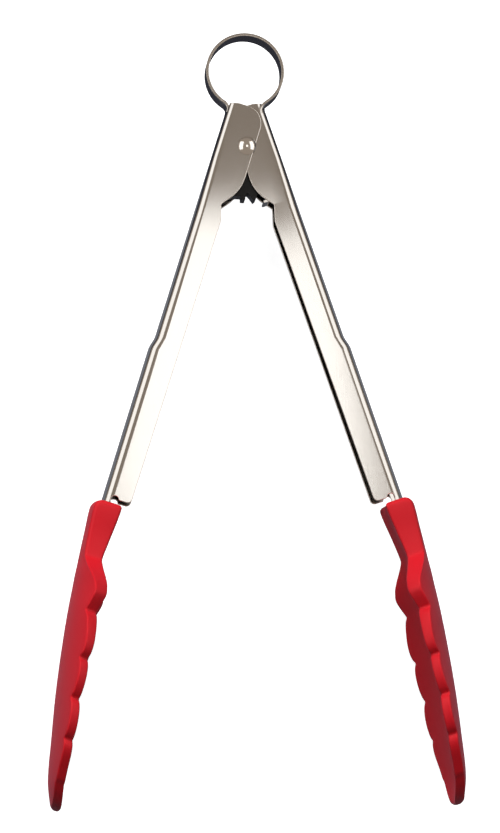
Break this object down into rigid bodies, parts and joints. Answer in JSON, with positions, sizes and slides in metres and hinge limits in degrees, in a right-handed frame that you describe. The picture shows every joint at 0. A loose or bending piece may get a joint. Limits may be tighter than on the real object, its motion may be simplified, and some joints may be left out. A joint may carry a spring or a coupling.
{
  "type": "kitchen tongs",
  "caption": "Spring loaded kitchen tongs: two pressed steel channel arms on a rivet, a hanging spring ring, a lock pawl and scalloped red silicone heads.",
  "frame": {"origin": "centre of the bounding box in X and Y, on the surface that the widest edges of the heads stand on", "axes": "+Z along the pivot rivet, towards the domed rivet head; +Y from the heads towards the hanging ring; +X towards the right arm"},
  "size_m": [0.1236, 0.2338, 0.0429],
  "materials": {
    "arm_steel": "lengthwise satin brush on pressed stainless sheet",
    "spring_steel": "bright rolled stainless strip",
    "bright_steel": "polished",
    "black_plastic": "moulded, matt",
    "red_silicone": "moulded silicone, satin"
  },
  "bodies": {
    "left_side": {"left_arm": "arm_steel", "left_blade": "arm_steel", "left_blade_rivet_upper": "bright_steel", "left_blade_rivet_lower": "bright_steel", "left_head": "red_silicone", "pivot_rivet": "bright_steel", "pivot_spacer": "arm_steel", "spring_ring": "spring_steel", "pawl_pin": "bright_steel", "pawl_washer_front": "bright_steel", "pawl_washer_rear": "bright_steel"},
    "right_side": {"right_arm": "arm_steel", "right_blade": "arm_steel", "right_blade_rivet_upper": "bright_steel", "right_blade_rivet_lower": "bright_steel", "right_head": "red_silicone"},
    "pawl": {"lock_pawl": "black_plastic"}
  },
  "joints": [
    {"name": "arm_pivot", "type": "hinge", "parent": "left_side", "child": "right_side", "pos_m": [0, 0.0817, 0.02145], "axis": [0, 0, -1], "range_deg": [0, 32.5], "stiffness_Nm_per_rad": 0.8, "springref_deg": -5.16, "deforming": ["spring_ring"]},
    {"name": "pawl_pivot", "type": "hinge", "parent": "left_side", "child": "pawl", "pos_m": [-0.0086, 0.0675, 0.02145], "axis": [0, 0, -1], "range_deg": [0, 17]}
  ]
}
